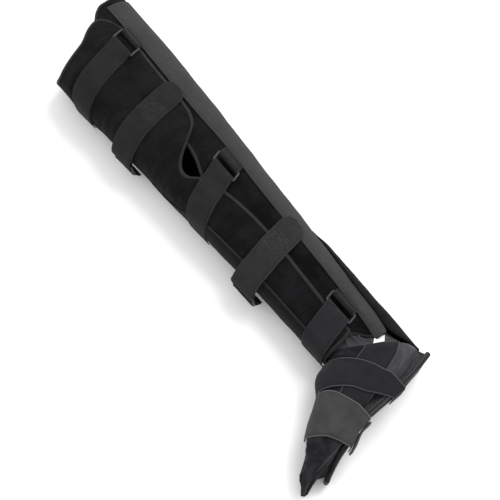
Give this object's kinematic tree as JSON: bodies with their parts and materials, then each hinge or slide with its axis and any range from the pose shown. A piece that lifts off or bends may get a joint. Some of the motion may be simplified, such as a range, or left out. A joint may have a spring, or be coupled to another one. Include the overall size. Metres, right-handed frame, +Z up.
{
  "type": "leg splint",
  "caption": "Long padded leg splint with an open front, straps through loops, side stay pockets and a strapped foot wrap on a sole plate.",
  "frame": {"origin": "under the middle of the splint's bounding box, on the surface that it lies on", "axes": "+X along the leg from the thigh to the sole, -Y the way the toes point, +Z up from the surface to the open front"},
  "size_m": [0.9782, 0.348, 0.1315],
  "materials": {
    "black_laminate": "matt black brushed-loop laminate over foam",
    "charcoal_loop_fabric": "charcoal ribbed pocket fabric",
    "strap_fabric": "dark grey woven strap with a brushed face",
    "black_plastic": "semi-matt black moulded plastic"
  },
  "bodies": {
    "root": {"leg_wrap": "black_laminate", "foot_wrap": "black_laminate", "toe_wrap": "black_laminate", "calf_panel": "black_laminate", "sole_plate": "black_laminate", "stay_pocket_right": "charcoal_loop_fabric", "stay_pocket_left": "charcoal_loop_fabric", "strap_thigh_top": "strap_fabric", "strap_thigh_low": "strap_fabric", "strap_knee": "strap_fabric", "strap_calf": "strap_fabric", "strap_ankle": "strap_fabric", "strap_cross": "strap_fabric", "strap_instep": "strap_fabric", "strap_forefoot": "strap_fabric", "tab_thigh_top": "strap_fabric", "tab_thigh_low": "strap_fabric", "tab_knee": "strap_fabric", "tab_calf": "strap_fabric", "tab_ankle": "strap_fabric", "loop_thigh_top": "black_plastic", "loop_thigh_low": "black_plastic", "loop_knee": "black_plastic", "loop_calf": "black_plastic", "loop_ankle": "black_plastic", "loop_forefoot": "black_plastic"}
  },
  "joints": []
}
